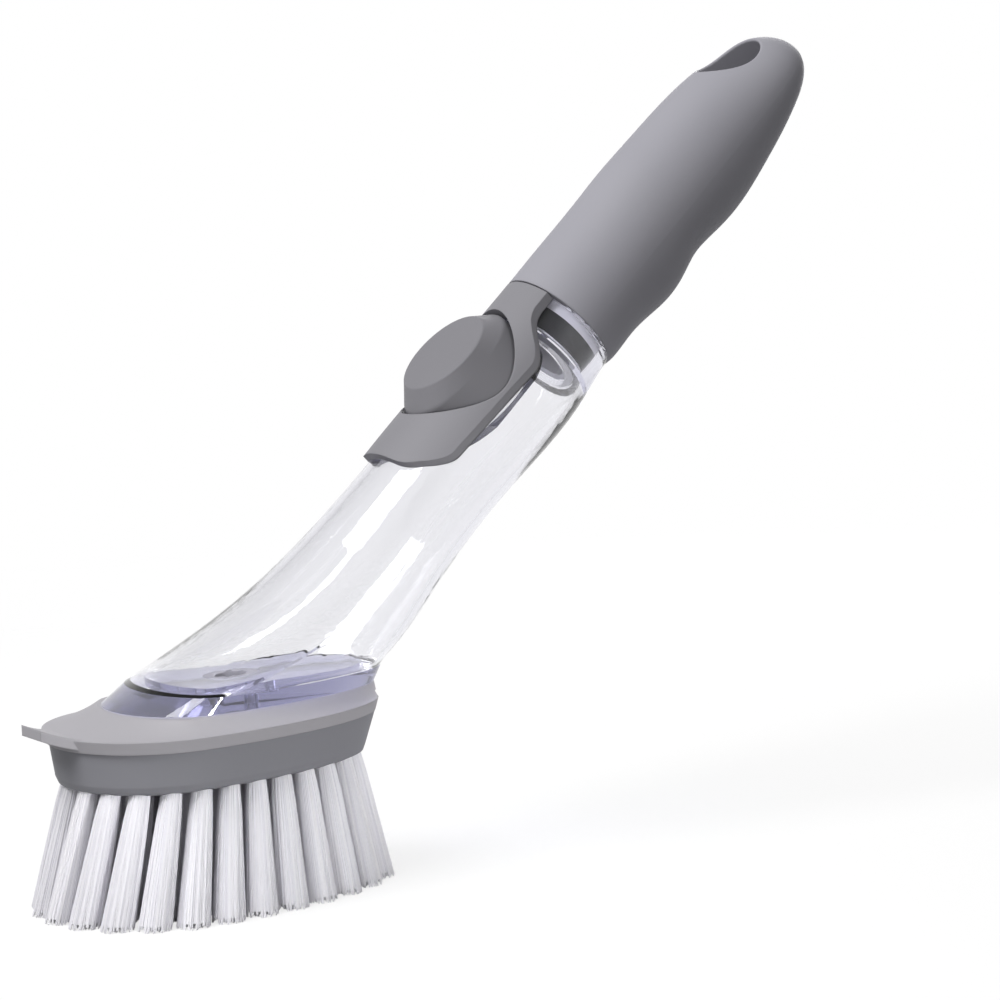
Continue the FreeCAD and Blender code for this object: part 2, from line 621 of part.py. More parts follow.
pocket(tongue, "button_hole", oval(tongue, "button_hole_plan", BUTTON_WIDE, BUTTON_WIDE, BUTTON_LONG,
                                   role="YZ_Plane", y=less(BUTTON_DOWN), z=CUT_FROM), HOUSING_CUT)
saddle = doc.addObject("Part::Common", "saddle")
saddle.Base = housing_blank
saddle.Tool = tongue
housing = doc.addObject("Part::Cut", "button_housing")
housing.Base = saddle
housing.Tool = reservoir_form("housing_seat", "_seat", " + Sizes.housing_fit")
doc.recompute()
keep(housing, "button_housing")


# The press button: a tall oval cap, hollow below, with a stiff disc under its roof.
def button_oval(body, name, wide, long, height):
    return oval(body, name, wide, wide, long, role="YZ_Plane", y=less(BUTTON_DOWN), z="-" + height)


cap = new_body("button_cap", in_neck_frame=True)
cap_loft = loft(cap, "cap_loft", [
    button_oval(cap, "cap_low", of("button_half_wide"), of("button_half_long"), of("button_low")),
    button_oval(cap, "cap_waist", of("button_half_wide", "-button_waist_side"),
                of("button_half_long", "-button_waist_end"), of("button_waist")),
    button_oval(cap, "cap_top", of("button_half_wide", "-button_top_side"),
                of("button_half_long", "-button_top_end"), of("button_high"))], ruled=True)
cap_shape = cap_loft
for rounding, level in (("button_waist_round", "button_waist"), ("button_round", "button_high")):
    height = value(of(level))
    ring = edges_where(cap_shape, lambda edge, middle: all(
        math.isclose(point.x, -height, abs_tol=1e-3) for point in edge.discretize(3)))
    cap_shape = fillet(cap, "cap_" + rounding, cap_shape, ring, "Sizes." + rounding)
CAP_IN_WIDE = of("button_half_wide", "-button_wall")
CAP_IN_LONG = of("button_half_long", "-button_wall")
CAP_ROOF = of("button_waist", "-button_roof")
pocket(cap, "cap_hollow", button_oval(cap, "cap_hollow_plan", CAP_IN_WIDE, CAP_IN_LONG, of("button_low")),
       CAP_ROOF + " - Sizes.button_low")
keep(cap, "button_cap")
core = new_body("button_core", in_neck_frame=True)
pad(core, "core_pad", button_oval(core, "core_plan", CAP_IN_WIDE + " - Sizes.fit_clear",
                                  CAP_IN_LONG + " - Sizes.fit_clear", "(%s - Sizes.core_thick)" % CAP_ROOF),
    of("core_thick"), reversed_way=True)
keep(core, "button_core")


def turned_on_button(label, corners):
    """A body turned about the button's axis from a half profile of (radius, height above the well)."""
    body = new_body(label, in_neck_frame=True)
    sketch = new_sketch(body, label + "_profile", role="XZ_Plane", x="-" + WELL_LEVEL, y=less(BUTTON_DOWN))
    outline(sketch, [(less(height), radius) for radius, height in corners])
    revolve(body, label + "_turn", sketch, axis="H_Axis")
    return keep(body, label)


# The silicone bellows on the well's floor, clamped by a ring round its foot.
BELLOWS_HIGH = "(%s - Sizes.core_thick - Sizes.fit_clear - %s)" % (CAP_ROOF, WELL_LEVEL)
SKIN = of("bellows_skin")
WAIST_OUT = of("bellows_radius", "-bellows_fold")
WAIST_AT = "(%s / 2)" % BELLOWS_HIGH
turned_on_button("pump_bellows", [
    (of("bellows_foot"), "0"), (of("bellows_foot"), SKIN), (of("bellows_radius"), SKIN),
    (WAIST_OUT, WAIST_AT), (of("bellows_radius"), BELLOWS_HIGH + " - Sizes.bellows_skin"),
    (of("bellows_radius", "-bellows_skin"), BELLOWS_HIGH), ("0", BELLOWS_HIGH),
    ("0", BELLOWS_HIGH + " - Sizes.bellows_skin"),
    (of("bellows_radius", "-bellows_skin", "-bellows_skin"), BELLOWS_HIGH + " - Sizes.bellows_skin"),
    (WAIST_OUT + " - Sizes.bellows_skin", WAIST_AT), (of("bellows_radius", "-bellows_skin"), "0")])
turned_on_button("bellows_ring", [
    (of("bellows_foot"), SKIN), (of("bellows_foot"), of("bellows_skin", "ring_height")),
    (of("bellows_foot", "-ring_width"), of("bellows_skin", "ring_height")),
    (of("bellows_foot", "-ring_width"), SKIN)])
# The one-way air valve in the well's floor: a stem through the port and a cap on the soap side.
AIR_IN = of("air_port", "-fit_clear")
turned_on_button("air_valve", [
    ("0", of("fit_clear")), (AIR_IN, of("fit_clear")), (AIR_IN, "-Sizes.well_floor"),
    (of("air_head"), "-Sizes.well_floor"), (of("air_head"), "-" + of("well_floor", "air_head_thick")),
    ("0", "-" + of("well_floor", "air_head_thick"))])

# The handle: a lofted grip with two finger waves, a hang hole and a socket for the plug.
handle = new_body("handle_shell", in_neck_frame=True)
grip = loft(handle, "grip", [
    oval(handle, name, of(name + "_above"), of(name + "_below"), of(name + "_half"), z=of(name + "_along"))
    for name, *sizes in HANDLE_SECTIONS])
HANG_SIDE = of("taper_start_below", "overrun")
hang = pocket(handle, "hang_hole", circle(handle, "hang_plan", of("hang_radius"), role="YZ_Plane",
                                          y="Sizes.hang_along", z=HANG_SIDE), "2 * " + HANG_SIDE)
hang_radius = value(of("hang_radius"))
hang_along = value(of("hang_along"))


def on_hang_rim(edge, middle):
    """Whether an edge runs round the mouth of the hang hole, and not along its wall."""
    steps = [math.hypot(point.y, point.z - hang_along) for point in edge.discretize(5)]
    return edge.Length > hang_radius and all(math.isclose(step, hang_radius, rel_tol=1e-3) for step in steps)


fillet(handle, "hang_round", hang, edges_where(hang, on_hang_rim), "Sizes.hang_round")
pocket(handle, "socket", circle(handle, "socket_plan", of("socket_radius")), of("socket_depth"),
       reversed_way=True)
loft(handle, "grip_hollow", [
    circle(handle, "hollow_start", of("socket_radius", "-plug_wall"), z=of("socket_depth")),
    circle(handle, "hollow_end", of("hollow_end_radius"), z=of("hollow_end"))], cut=True)
keep(handle, "handle_shell")


def turned_on_neck(label, corners):
    """A body turned about the neck axis from a half profile of (radius, distance from the mouth)."""
    body = new_body(label, in_neck_frame=True)
    sketch = new_sketch(body, label + "_profile", role="XZ_Plane")
    outline(sketch, corners)
    revolve(body, label + "_turn", sketch)
    return keep(body, label)


# The plug: closed above, seated in the handle's socket, screwing into the neck with a groove for the seal.
PLUG_OUT = of("bore_radius", "-plug_clear")
PLUG_IN = of("bore_radius", "-plug_clear", "-plug_wall", "-seal_depth")
GROOVE = of("bore_radius", "-plug_clear", "-seal_depth")
PLUG_SEAT = of("socket_radius", "-fit_clear")
PLUG_END = of("socket_depth", "-fit_clear")
SEAL_TOP = "(Sizes.seal_width - Sizes.seal_down)"
turned_on_neck("threaded_plug", [
    ("0", PLUG_END), ("0", PLUG_END + " - Sizes.plug_wall"), (PLUG_IN, PLUG_END + " - Sizes.plug_wall"),
    (PLUG_IN, less(of("plug_down"))), (PLUG_OUT, less(of("plug_down"))), (PLUG_OUT, less(of("seal_down"))),
    (GROOVE, less(of("seal_down"))), (GROOVE, SEAL_TOP), (PLUG_OUT, SEAL_TOP), (PLUG_OUT, of("fit_clear")),
    (PLUG_SEAT, of("fit_clear")), (PLUG_SEAT, PLUG_END)])
# The dark rubber seal that shows through the clear neck.
turned_on_neck("neck_seal", [
    (GROOVE + " + Sizes.seal_clear", of("seal_clear", "-seal_down")),
    (of("bore_radius", "-seal_clear"), of("seal_clear", "-seal_down")),
    (of("bore_radius", "-seal_clear"), SEAL_TOP + " - Sizes.seal_clear"),
    (GROOVE + " + Sizes.seal_clear", SEAL_TOP + " - Sizes.seal_clear")])

# The head plate: rim, slope up to the reservoir's seat, pull lip, and the slot for the rail.
plate = new_body("head_plate")
HEAD = ("head_toe", "head_heel", "head_half")


def head_oval(body, name, insets, z):
    toe, heel, half = [of(size, *["-" + inset for inset in less_by]) for size, less_by in zip(HEAD, insets)]
    return oval(body, name, toe, heel, half, x="Sizes.head_wide_x", z=z)


def between(name, rim, seat, shift):
    """A size of the plate's slope, a share of the way from the rim to the seat."""
    return "(Sizes.%s + Sizes.plate_mid_share * (Sizes.%s + %s - Sizes.%s))" % (rim, seat, shift, rim)


rim_edge = head_oval(plate, "rim_edge", [[], [], []], RIM_EDGE)
loft(plate, "rim", [head_oval(plate, "rim_foot", [["rim_undercut"]] * 3, BLOCK_TOP), rim_edge], ruled=True)
TOE_SHIFT = "(Sizes.head_wide_x - Sizes.base_wide_x)"
slope_top = oval(plate, "slope_top", "(Sizes.base_toe + %s)" % TOE_SHIFT, "(Sizes.base_heel - %s)" % TOE_SHIFT,
                 of("base_half"), x="Sizes.head_wide_x", z=SEAT)
slope_mid = oval(plate, "slope_mid", between("toe", "head_toe", "base_toe", TOE_SHIFT),
                 between("heel", "head_heel", "base_heel", "(-%s)" % TOE_SHIFT),
                 between("half", "head_half", "base_half", "0"), x="Sizes.head_wide_x",
                 z=RIM_EDGE + " + Sizes.plate_mid_rise")
loft(plate, "slope", [head_oval(plate, "slope_foot", [[], [], []], RIM_EDGE), slope_mid, slope_top])


def lip_section(name, reach, half, rise):
    sketch = new_sketch(plate, name, role="YZ_Plane", z=less(of(reach)))
    high = RIM_EDGE + " + " + rise
    low = high + " - Sizes.lip_thick"
    outline(sketch, [(less(of(half)), low), (of(half), low), (of(half), high), (less(of(half)), high)])
    return sketch


loft(plate, "lip", [lip_section("lip_start", "lip_root", "lip_root_half", "0"),
                    lip_section("lip_bend", "lip_mid", "lip_mid_half", "Sizes.lip_mid_rise"),
                    lip_section("lip_end", "lip_reach", "lip_half", "Sizes.lip_rise")])
SLOT_START = of("rail_start", "rail_clear")
SLOT_END = of("head_wide_x", "head_heel", "overrun")
pocket(plate, "slot_neck", rail_plan(plate, "slot_neck_plan", of("rail_neck_half", "rail_clear"),
                                     SEAT + " + Sizes.overrun", SLOT_START, SLOT_END),
       of("overrun", "rail_neck_depth", "rail_foot_depth", "rail_clear"))
pocket(plate, "slot_foot", rail_plan(plate, "slot_foot_plan", of("rail_foot_half", "rail_clear"),
                                     RAIL_FOOT_TOP + " + Sizes.rail_clear", SLOT_START, SLOT_END),
       of("rail_clear", "rail_foot_depth", "rail_clear"))
SLOT_FLOOR = RAIL_FOOT_TOP + " - Sizes.rail_foot_depth - Sizes.rail_clear"
pocket(plate, "seal_seat", circle(plate, "seal_seat_plan", of("seal_radius", "fit_clear"), x="Sizes.port_x",
                                  z=SLOT_FLOOR), "Sizes.seal_thick - Sizes.rail_clear + Sizes.fit_clear")
pocket(plate, "plate_port", circle(plate, "plate_port_plan", of("port_radius"), x="Sizes.port_x",
                                   z=SLOT_FLOOR + " + Sizes.overrun"))
keep(plate, "head_plate")

# The silicone ring that seals the rail to the plate's soap port.
seal = new_body("port_seal")
pad(seal, "port_seal_pad", circle(seal, "port_seal_plan", of("seal_radius"), of("port_radius"),
                                  x="Sizes.port_x", z=SLOT_FLOOR + " + Sizes.rail_clear - Sizes.fit_clear"),
    of("seal_thick"), reversed_way=True)
keep(seal, "port_seal")

# The bristle block: drafted sides, rounded lower edge, a soap port and a hole for each tuft.
block = new_body("bristle_block")
TOP_INSETS = [["block_toe_inset"], ["block_heel_inset"], ["block_side_inset"]]
LOW_INSETS = [["block_toe_inset", "block_draft"], ["block_heel_inset", "block_heel_draft"],
              ["block_side_inset", "block_draft"]]
underside = value(of("bristle_length"))


def block_oval(name, round_share, height):
    """The block's outline near its lower edge, drawn in by a share of the edge's rounding."""
    reaches = [of(size, *["-" + inset for inset in insets]) for size, insets in zip(HEAD, LOW_INSETS)]
    toe, heel, half = ["(%s - %s * Sizes.block_round)" % (reach, round_share) for reach in reaches]
    return oval(block, name, toe, heel, half, x="Sizes.head_wide_x", z=height)


loft(block, "block", [
    block_oval("block_low", "1", of("bristle_length")),
    block_oval("block_bend", "Sizes.block_round_share",
               of("bristle_length") + " + Sizes.block_round_share * Sizes.block_round"),
    block_oval("block_side", "0", of("bristle_length", "block_round")),
    head_oval(block, "block_top", TOP_INSETS, BLOCK_TOP)], ruled=True)
pocket(block, "block_port", circle(block, "block_port_plan", of("port_radius"), x="Sizes.port_x", z=BLOCK_TOP))


def ring_places(inset, flare, count):
    """Root and tip of each tuft of a ring: even steps along two eggs that follow the block's underside."""
    rings = []
    for step in (-value(of(inset)), value(of(flare)) - value(of(inset))):
        toe, heel, half = [value(of(size, *["-" + name for name in insets])) + step
                           for size, insets in zip(HEAD, LOW_INSETS)]
        arcs = []
        for reach, side in ((toe, -1), (heel, 1)):
            if reach > half:
                ellipse = Part.Ellipse(V(reach * side, 0, 0), V(0, half * side, 0), V())
                arcs.append(Part.ArcOfEllipse(ellipse, -math.pi / 2, math.pi / 2).toShape())
            else:
                ellipse = Part.Ellipse(V(0, half * -side, 0), V(reach * side, 0, 0), V())
                arcs.append(Part.ArcOfEllipse(ellipse, 0, math.pi).toShape())
        steps = Part.Wire(arcs).discretize(Number=count + 1)
        rings.append([point + V(value(of("head_wide_x")), 0, 0) for point in steps[:-1]])
    return list(zip(*rings))


inner_steps = [step for step in range(-INNER_TUFTS_TO_TOE, INNER_TUFTS_TO_HEEL + 1)]
inner_row = []
for step in inner_steps:
    root = V(step * value(of("inner_pitch")), 0, 0)
    inner_row.append((root, root))
TUFTS = [("outer_tufts", ring_places("outer_inset", "outer_flare", OUTER_TUFTS)),
         ("middle_tufts", ring_places("middle_inset", "middle_flare", MIDDLE_TUFTS)),
         ("inner_tufts", inner_row)]
hole_radius = of("tuft_radius", "tuft_hole_clear")
holes = new_sketch(block, "tuft_holes_plan", z=of("bristle_length"))
for name, places in TUFTS:
    for root, tip in places:
        holes.addGeometry(Part.Circle(root, V(0, 0, 1), value(hole_radius)), False)
driven(holes, Rule("Radius", 0, value(hole_radius)), hole_radius)
for hole in range(1, holes.GeometryCount):
    holes.addConstraint(Rule("Equal", 0, hole))
pocket(block, "tuft_holes", holes, of("tuft_depth", "staple_height"), reversed_way=True)
keep(block, "bristle_block")


def level_ring(point, height, radius):
    return Part.Wire(Part.makeCircle(radius, V(point.x, point.y, height)))


# The nylon tufts: round where they are set, flaring and leaning out to the tips.
root_height = underside + value(of("tuft_depth"))
lean = V(-value(of("tuft_lean")), 0, 0)
for name, places in TUFTS:
    tufts = []
    for root, tip in places:
        end = tip + lean if name != "inner_tufts" else tip
        rings = [level_ring(root, root_height, value(of("tuft_radius"))),
                 level_ring(root, underside, value(of("tuft_radius"))),
                 level_ring(end, 0, value(of("tuft_tip_radius")))]
        tufts.append(Part.makeLoft(rings, True, True))
    group = doc.addObject("Part::Feature", name)
    group.Shape = Part.makeCompound(tufts)
    keep(group, name)

# The metal anchors that hold the tufts at the ends of their holes.
staple_size = [value(of(size)) for size in ("staple_length", "staple_width", "staple_height")]
staples = []
for name, places in TUFTS:
    for root, tip in places:
        corner = V(root.x - staple_size[0] / 2, root.y - staple_size[1] / 2, root_height)
        staples.append(Part.makeBox(*staple_size, corner))
anchors = doc.addObject("Part::Feature", "tuft_staples")
anchors.Shape = Part.makeCompound(staples)
keep(anchors, "tuft_staples")

doc.recompute()
for thing in doc.Objects:
    if "Invalid" in thing.State or "Error" in thing.State:
        raise RuntimeError("%s is %s" % (thing.Name, thing.State))
for node in nodes:
    if node.Shape.isNull() or not node.Shape.isValid() or not node.Shape.Solids:
        raise RuntimeError(node.Label + " has no valid solid")
os.makedirs("parts", exist_ok=True)
for node in nodes:
    node.Shape.exportStep("parts/%s.step" % node.Label)
    print(node.Label, len(node.Shape.Solids), round(node.Shape.Volume, 1))
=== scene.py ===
import json
import math
import random

import bmesh
import bpy
from mathutils import Matrix, Vector


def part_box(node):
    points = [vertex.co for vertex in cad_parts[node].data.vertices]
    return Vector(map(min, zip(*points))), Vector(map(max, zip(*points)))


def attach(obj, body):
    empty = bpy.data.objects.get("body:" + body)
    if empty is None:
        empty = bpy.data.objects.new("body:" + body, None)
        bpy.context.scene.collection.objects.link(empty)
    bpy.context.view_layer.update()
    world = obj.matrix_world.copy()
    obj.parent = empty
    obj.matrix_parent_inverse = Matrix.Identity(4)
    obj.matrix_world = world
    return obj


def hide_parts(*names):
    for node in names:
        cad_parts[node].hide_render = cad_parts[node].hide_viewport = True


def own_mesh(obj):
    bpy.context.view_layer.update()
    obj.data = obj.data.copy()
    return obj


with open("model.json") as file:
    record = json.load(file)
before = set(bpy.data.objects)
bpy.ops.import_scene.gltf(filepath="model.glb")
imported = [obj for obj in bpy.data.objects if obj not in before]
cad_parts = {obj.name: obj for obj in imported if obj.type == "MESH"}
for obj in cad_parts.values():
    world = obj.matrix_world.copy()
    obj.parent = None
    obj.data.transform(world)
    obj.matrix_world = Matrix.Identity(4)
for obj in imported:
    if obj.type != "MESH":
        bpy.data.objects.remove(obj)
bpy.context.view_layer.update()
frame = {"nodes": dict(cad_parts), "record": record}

# The clear reservoir: a bottle body and a thick floor, both injection-moulded in polished styrene
# acrylonitrile and welded together. The pump well and the neck's bore are moulded into the body.
MM = 0.001
swell_size, swell_depth = 20 * MM, 0.2 * MM


def linear(code):
    """An sRGB hex colour as linear RGBA."""
    channels = [int(code[i:i + 2], 16) / 255 for i in (1, 3, 5)]
    return [c / 12.92 if c <= 0.04045 else ((c + 0.055) / 1.055) ** 2.4 for c in channels] + [1.0]


def empty_material(name):
    """A material of this name with no nodes yet."""
    material = bpy.data.materials.new(name)
    material.use_nodes = True
    material.node_tree.nodes.clear()
    return material


def add_node(owner, kind, settings=None, links=None):
    """A node of this kind, with its properties or sockets set, and its sockets linked from others."""
    node = owner.node_tree.nodes.new(kind)
    for name, value in (settings or {}).items():
        if name in node.inputs:
            node.inputs[name].default_value = value
        else:
            setattr(node, name, value)
    for socket, source in (links or {}).items():
        owner.node_tree.links.new(source, node.inputs[socket])
    return node


def dress(material, *names):
    """Give the CAD pieces of these names a material."""
    for name in names:
        frame["nodes"][name].material_slots[0].material = material


clear_san = empty_material("clear_styrene_acrylonitrile")
# A polished mould leaves the faces as smooth as glass, with a slow swell where the melt shrank.
san_place = add_node(clear_san, "ShaderNodeTexCoord")
san_swell = add_node(clear_san, "ShaderNodeTexNoise", {"Scale": 1 / swell_size, "Detail": 1.0},
                     {"Vector": san_place.outputs["Object"]})
san_skin = add_node(clear_san, "ShaderNodeBump", {"Strength": 0.08, "Distance": swell_depth},
                    {"Height": san_swell.outputs[0]})
san_surface = add_node(clear_san, "ShaderNodeBsdfPrincipled", {
    "Base Color": linear("#ffffff"), "Roughness": 0.02, "IOR": 1.52, "Transmission Weight": 1.0},
    {"Normal": san_skin.outputs[0]})
# Thick stretches look faintly lavender.
san_tint = add_node(clear_san, "ShaderNodeVolumeAbsorption", {"Color": linear("#dcdce8"), "Density": 95.0})
# Lamps shine through the walls onto what is inside and behind them.
san_rays = add_node(clear_san, "ShaderNodeLightPath")
san_passed = add_node(clear_san, "ShaderNodeBsdfTransparent", {"Color": linear("#f1f1f6")})
san_whole = add_node(clear_san, "ShaderNodeMixShader", links={
    "Fac": san_rays.outputs["Is Shadow Ray"], 1: san_surface.outputs[0], 2: san_passed.outputs[0]})
add_node(clear_san, "ShaderNodeOutputMaterial",
         links={"Surface": san_whole.outputs[0], "Volume": san_tint.outputs[0]})
dress(clear_san, "reservoir_shell")
# The floor is thick enough for a faint haze in the plastic to show as lavender.
hazy_san = clear_san.copy()
hazy_san.name = "thick_styrene_acrylonitrile"
haze = hazy_san.node_tree.nodes[san_surface.name].inputs
haze["Base Color"].default_value = linear("#e0e0ee")
haze["Transmission Weight"].default_value = 0.88
dress(hazy_san, "reservoir_base")

# The valves and the port seal: a slit valve in the reservoir's floor, an air valve in the pump well, and
# a ring between rail and head. All are milky silicone, pressed into their seats by the piece over them.
bloom_size, bloom_depth = 4 * MM, 0.05 * MM


def soft_rubber(name, colour, shade, glow):
    """Moulded rubber or silicone with a matt skin: glow is the share of light that passes through it."""
    rubber = empty_material(name)
    place = add_node(rubber, "ShaderNodeTexCoord")
    # Bloom lies on the skin in soft patches, paler and rougher than the rest.
    bloom = add_node(rubber, "ShaderNodeTexNoise", {"Scale": 1 / bloom_size, "Detail": 4.0},
                     {"Vector": place.outputs["Object"]})
    tone = add_node(rubber, "ShaderNodeValToRGB", links={"Fac": bloom.outputs[0]})
    tone.color_ramp.elements[0].color = linear(shade)
    tone.color_ramp.elements[1].color = linear(colour)
    gloss = add_node(rubber, "ShaderNodeMapRange", {"To Min": 0.5, "To Max": 0.7},
                     {"Value": bloom.outputs[0]})
    skin = add_node(rubber, "ShaderNodeBump", {"Strength": 0.15, "Distance": bloom_depth},
                    {"Height": bloom.outputs[0]})
    body = add_node(rubber, "ShaderNodeBsdfPrincipled", {"IOR": 1.43}, {
        "Base Color": tone.outputs[0], "Roughness": gloss.outputs[0], "Normal": skin.outputs[0]})
    through = add_node(rubber, "ShaderNodeBsdfTranslucent", links={"Color": tone.outputs[0]})
    both = add_node(rubber, "ShaderNodeMixShader", {"Fac": glow}, {1: body.outputs[0], 2: through.outputs[0]})
    add_node(rubber, "ShaderNodeOutputMaterial", links={"Surface": both.outputs[0]})
    return rubber


silicone = soft_rubber("milky_silicone", "#e4e3e6", "#d3d2d8", glow=0.35)
dress(silicone, "outlet_valve", "air_valve", "port_seal")

# The housing that frames the button: grey polypropylene, snapped over the bottle's back.
# The rings that hold the valve and the bellows down are moulded from the same plastic.
drift_size, pit_size, pit_depth = 30 * MM, 0.3 * MM, 0.03 * MM
gloss_swing = 0.06


def satin_plastic(name, colour, shade, rough, edge):
    """Moulded plastic with a finely eroded skin: edge is the radius of its rounded corners."""
    plastic = empty_material(name)
    place = add_node(plastic, "ShaderNodeTexCoord")
    # The pigment drifts slowly in tone, as masterbatch mixes unevenly.
    drift = add_node(plastic, "ShaderNodeTexNoise", {"Scale": 1 / drift_size, "Detail": 2.0},
                     {"Vector": place.outputs["Object"]})
    tone = add_node(plastic, "ShaderNodeValToRGB", links={"Fac": drift.outputs[0]})
    tone.color_ramp.elements[0].color = linear(shade)
    tone.color_ramp.elements[1].color = linear(colour)
    # Spark erosion of the mould leaves fine pits, which give a satin sheen.
    pits = add_node(plastic, "ShaderNodeTexNoise", {"Scale": 1 / pit_size, "Detail": 3.0},
                    {"Vector": place.outputs["Object"]})
    gloss = add_node(plastic, "ShaderNodeMapRange", {
        "To Min": rough - gloss_swing, "To Max": rough + gloss_swing}, {"Value": pits.outputs[0]})
    corner = add_node(plastic, "ShaderNodeBevel", {"samples": 6, "Radius": edge})
    skin = add_node(plastic, "ShaderNodeBump", {"Strength": 0.1, "Distance": pit_depth},
                    {"Height": pits.outputs[0], "Normal": corner.outputs[0]})
    surface = add_node(plastic, "ShaderNodeBsdfPrincipled", {"IOR": 1.49, "Specular IOR Level": 0.2}, {
        "Base Color": tone.outputs[0], "Roughness": gloss.outputs[0], "Normal": skin.outputs[0]})
    add_node(plastic, "ShaderNodeOutputMaterial", links={"Surface": surface.outputs[0]})
    return plastic


housing_grey = satin_plastic("grey_polypropylene", "#8f8e93", "#89888d", rough=0.6, edge=0.4 * MM)
dress(housing_grey, "button_housing", "bellows_ring", "valve_retainer")

# The press button: a tall oval cap of grey polypropylene over a stiff core.
# It slides in the pump well and stands on the bellows.
button_grey = satin_plastic("button_polypropylene", "#87868b", "#818085", rough=0.6, edge=0.4 * MM)
dress(button_grey, "button_cap", "button_core")

# The pump bellows: a thin silicone bellows between the well's floor and the button, held by a ring.
# On the wand its folds close as the button goes down; here they are built at rest.
BELLOWS_STEPS = 48
foot_radius, fold_radius, waist_radius, bellows_skin = 11.3 * MM, 9.0 * MM, 7.3 * MM, 0.9 * MM
low_fold_share, low_waist_share = 0.25, 0.45
high_waist_share, high_fold_share, shoulder_share = 0.55, 0.75, 0.9
merge_gap = 0.001 * MM


def mesh_object(name, shape):
    """An object at the origin with this bmesh for its mesh. The bmesh is freed."""
    data = bpy.data.meshes.new(name)
    shape.to_mesh(data)
    shape.free()
    piece = bpy.data.objects.new(name, data)
    bpy.context.scene.collection.objects.link(piece)
    return piece


joints = {joint["name"]: joint for joint in frame["record"]["behaviour"]["joints"]}
press = -Vector(joints["button_press"]["axis"])
bellows_points = [vertex.co for vertex in frame["nodes"]["pump_bellows"].data.vertices]
bellows_heights = [point.dot(press) for point in bellows_points]
bellows_low, bellows_high = min(bellows_heights), max(bellows_heights)
bellows_middle = sum(bellows_points, Vector()) / len(bellows_points)
bellows_foot = bellows_middle + (bellows_low - bellows_middle.dot(press)) * press
bellows_tall = bellows_high - bellows_low
across = press.orthogonal().normalized()
bellows_profile = [
    (0.0, 0.0), (foot_radius, 0.0), (foot_radius, bellows_skin), (fold_radius, bellows_skin),
    (fold_radius, low_fold_share * bellows_tall), (waist_radius, low_waist_share * bellows_tall),
    (waist_radius, high_waist_share * bellows_tall), (fold_radius, high_fold_share * bellows_tall),
    (fold_radius, shoulder_share * bellows_tall), (fold_radius - bellows_skin, bellows_tall),
    (0.0, bellows_tall)]
bellows_mesh = bmesh.new()
bellows_side = [bellows_mesh.verts.new(bellows_foot + radius * across + height * press)
                for radius, height in bellows_profile]
bellows_edges = [bellows_mesh.edges.new(pair) for pair in zip(bellows_side, bellows_side[1:])]
bmesh.ops.spin(bellows_mesh, geom=bellows_side + bellows_edges, cent=bellows_foot, axis=press,
               angle=math.tau, steps=BELLOWS_STEPS, use_merge=True)
bmesh.ops.remove_doubles(bellows_mesh, verts=bellows_mesh.verts, dist=merge_gap)
bmesh.ops.recalc_face_normals(bellows_mesh, faces=bellows_mesh.faces)
for face in bellows_mesh.faces:
    face.smooth = True
bellows = mesh_object("pump_bellows_folds", bellows_mesh)
bellows.data.materials.append(silicone)
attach(bellows, "wand")
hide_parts("pump_bellows")
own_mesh(bellows)

# The screw joint: a plug of natural polypropylene in the handle's foot, with a black rubber seal round it.
# The plug is pressed and bonded into the handle's socket.
plug_natural = satin_plastic("natural_polypropylene", "#dad9df", "#d2d1d8", rough=0.4, edge=0.2 * MM)
dress(plug_natural, "threaded_plug")
seal_black = soft_rubber("black_rubber", "#17171c", "#101014", glow=0.0)
dress(seal_black, "neck_seal")

# The handle: a hollow polypropylene grip with two finger waves below and a hang hole at its end.
# The plug in its foot screws it into the reservoir's neck.
handle_grey = satin_plastic("handle_polypropylene", "#a5a4ab", "#9f9ea6", rough=0.6, edge=0.9 * MM)
dress(handle_grey, "handle_shell")

# The exchangeable head: a grey plate that slides onto the reservoir's rail, and the bristle block
# that is welded under it, both moulded in polypropylene.
plate_grey = satin_plastic("plate_polypropylene", "#aeacb1", "#a8a6ab", rough=0.6, edge=0.5 * MM)
dress(plate_grey, "head_plate")
# The block's grey is darker than the plate's: painted shade, which offsets the kicker lamp's light on the
# block.
shaded_block_grey = satin_plastic("block_polypropylene_painted_shade", "#8d8d93", "#87878d", rough=0.6, edge=0.6 * MM)
dress(shaded_block_grey, "bristle_block")

# The tufts: bundles of straight nylon filaments, folded over metal staples in the block's holes.
# They stand close at the holes and flare to tips that were trimmed to one level. The filaments inside
# a bundle show only at its tip, and a core stands for the rest of their length.
FILAMENTS = 170
FILAMENT_SIDES = 5
CORE_SIDES = 24
TUFT_SEED = 7
filament_radius = 0.17 * MM
root_radius, bend_radius, tip_radius = 2.45 * MM, 3.1 * MM, 4.3 * MM
root_depth = 1.5 * MM
trim_spread = 0.9 * MM
core_clear = 1.5 * MM
bend_share = 0.82
skin_share = 0.7
core_share = 0.96
core_whiteness = 0.5
golden_turn = math.pi * (3 - math.sqrt(5))
turn_jitter = 0.2
tip_slack, root_slack, solid_merge_gap = 0.1 * MM, 1.0 * MM, 0.01 * MM
block_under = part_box("bristle_block")[0].z
nylon = empty_material("white_nylon")
